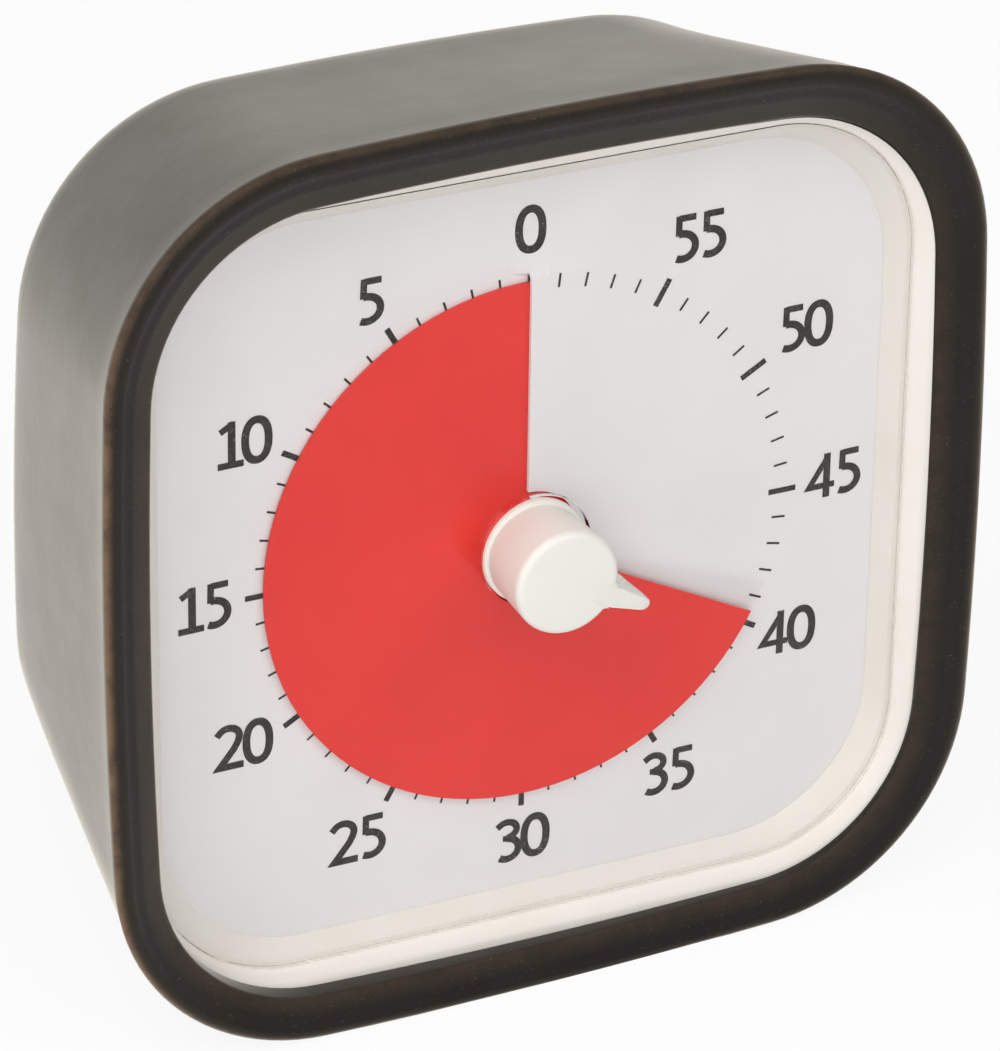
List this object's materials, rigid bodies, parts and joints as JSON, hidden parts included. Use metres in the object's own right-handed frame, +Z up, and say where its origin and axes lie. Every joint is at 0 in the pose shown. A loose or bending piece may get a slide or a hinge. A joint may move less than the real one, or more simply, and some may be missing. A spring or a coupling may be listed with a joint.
{
  "type": "visual countdown timer",
  "caption": "Countdown timer with a red disc that winds through a slit in a minute dial, a pointer knob, a clear lens and a soft dark sleeve; it leans back on its flat underside.",
  "frame": {"origin": "on the ground under the middle of the timer's width and depth", "axes": "+Z up, the dial faces -Y and leans back 17 degrees, +X to the right as seen by somebody reading the dial"},
  "size_m": [0.0898, 0.0599, 0.0856],
  "materials": {
    "silicone": "matte, fine grain",
    "case_white": "satin",
    "back_white": "fine texture",
    "clear": "clear, polished",
    "dial_print": "smooth, printed",
    "carrier_white": "smooth",
    "disc_red": "satin",
    "hub_white": "smooth",
    "knob_white": "satin",
    "shaft_steel": "turned",
    "spring_steel": "bright",
    "brass": "turned",
    "gear_white": "smooth",
    "magnet": "ground",
    "stator_steel": "annealed",
    "bobbin": "smooth",
    "copper": "enamelled wire",
    "movement_black": "smooth",
    "board_green": "coated",
    "crystal_can": "drawn",
    "chip_black": "moulded",
    "cell_wrap": "printed wrap",
    "contact_nickel": "nickel plated",
    "switch_black": "moulded",
    "screw_zinc": "zinc plated",
    "wire_red": "insulation",
    "wire_black": "insulation",
    "wire_yellow": "insulation"
  },
  "bodies": {
    "housing": {"sleeve": "silicone", "front_case": "case_white", "rear_case": "back_white", "lens": "clear", "dial_card": "dial_print", "dial_carrier": "carrier_white", "movement_front": "movement_black", "movement_back": "movement_black", "circuit_board": "board_green", "quartz_crystal": "crystal_can", "control_chip": "chip_black", "alarm_contact": "brass", "stator": "stator_steel", "coil_bobbin": "bobbin", "coil_winding": "copper", "sounder_housing": "movement_black", "sounder_disc": "brass", "battery": "cell_wrap", "battery_spring": "contact_nickel", "battery_plate": "contact_nickel", "switch_body": "switch_black", "case_screws": "screw_zinc", "movement_screws": "screw_zinc", "battery_wires": "wire_red", "sounder_wires": "wire_black", "switch_wires": "wire_yellow"},
    "knob_and_shaft": {"knob": "knob_white", "knob_shaft": "shaft_steel", "clutch_collar": "brass", "clutch_spring": "spring_steel", "alarm_cam": "gear_white"},
    "disc": {"timer_disc": "disc_red", "disc_hub": "hub_white"},
    "centre_wheel": {"centre_wheel": "brass"},
    "second_wheel": {"second_wheel": "gear_white"},
    "third_wheel": {"third_wheel": "gear_white"},
    "step_wheel": {"step_wheel": "gear_white"},
    "rotor": {"rotor": "magnet"},
    "switch_slider": {"switch_slider": "switch_black"},
    "battery_door": {"battery_door": "back_white"}
  },
  "joints": [
    {"name": "knob_turn", "type": "hinge", "parent": "housing", "child": "knob_and_shaft", "pos_m": [0, -0.01096, 0.04082], "axis": [0, -0.9563, 0.2924], "range_deg": [-243, 117]},
    {"name": "disc_wind", "type": "slide", "parent": "knob_and_shaft", "child": "disc", "axis": [0, -0.9563, 0.2924], "range_m": [-0.00088, 0.00042]},
    {"name": "rotor_turn", "type": "hinge", "parent": "housing", "child": "rotor", "pos_m": [-0.0018, -0.00007, 0.04908], "axis": [0, -0.9563, 0.2924], "continuous": true},
    {"name": "step_wheel_turn", "type": "hinge", "parent": "housing", "child": "step_wheel", "pos_m": [-0.0076, -0.00053, 0.0476], "axis": [0, -0.9563, 0.2924], "continuous": true},
    {"name": "third_wheel_turn", "type": "hinge", "parent": "housing", "child": "third_wheel", "pos_m": [-0.0111, -0.0023, 0.0418], "axis": [0, -0.9563, 0.2924], "continuous": true},
    {"name": "second_wheel_turn", "type": "hinge", "parent": "housing", "child": "second_wheel", "pos_m": [-0.00962, -0.00475, 0.03379], "axis": [0, -0.9563, 0.2924], "continuous": true},
    {"name": "centre_wheel_turn", "type": "hinge", "parent": "housing", "child": "centre_wheel", "pos_m": [0, -0.00523, 0.03907], "axis": [0, -0.9563, 0.2924], "continuous": true},
    {"name": "switch_slide", "type": "slide", "parent": "housing", "child": "switch_slider", "axis": [1, 0, 0], "range_m": [0, 0.003]},
    {"name": "door_out", "type": "slide", "parent": "housing", "child": "battery_door", "axis": [0, 0.9563, -0.2924], "range_m": [0, 0.012]}
  ],
  "couplings": [
    {"joint": "disc_wind", "follows": "knob_turn", "m_per_rad": 0.0002069},
    {"joint": "step_wheel_turn", "follows": "rotor_turn", "ratio": -0.2},
    {"joint": "third_wheel_turn", "follows": "rotor_turn", "ratio": 0.033333},
    {"joint": "second_wheel_turn", "follows": "rotor_turn", "ratio": -0.0044444},
    {"joint": "centre_wheel_turn", "follows": "rotor_turn", "ratio": 0.00055556}
  ]
}
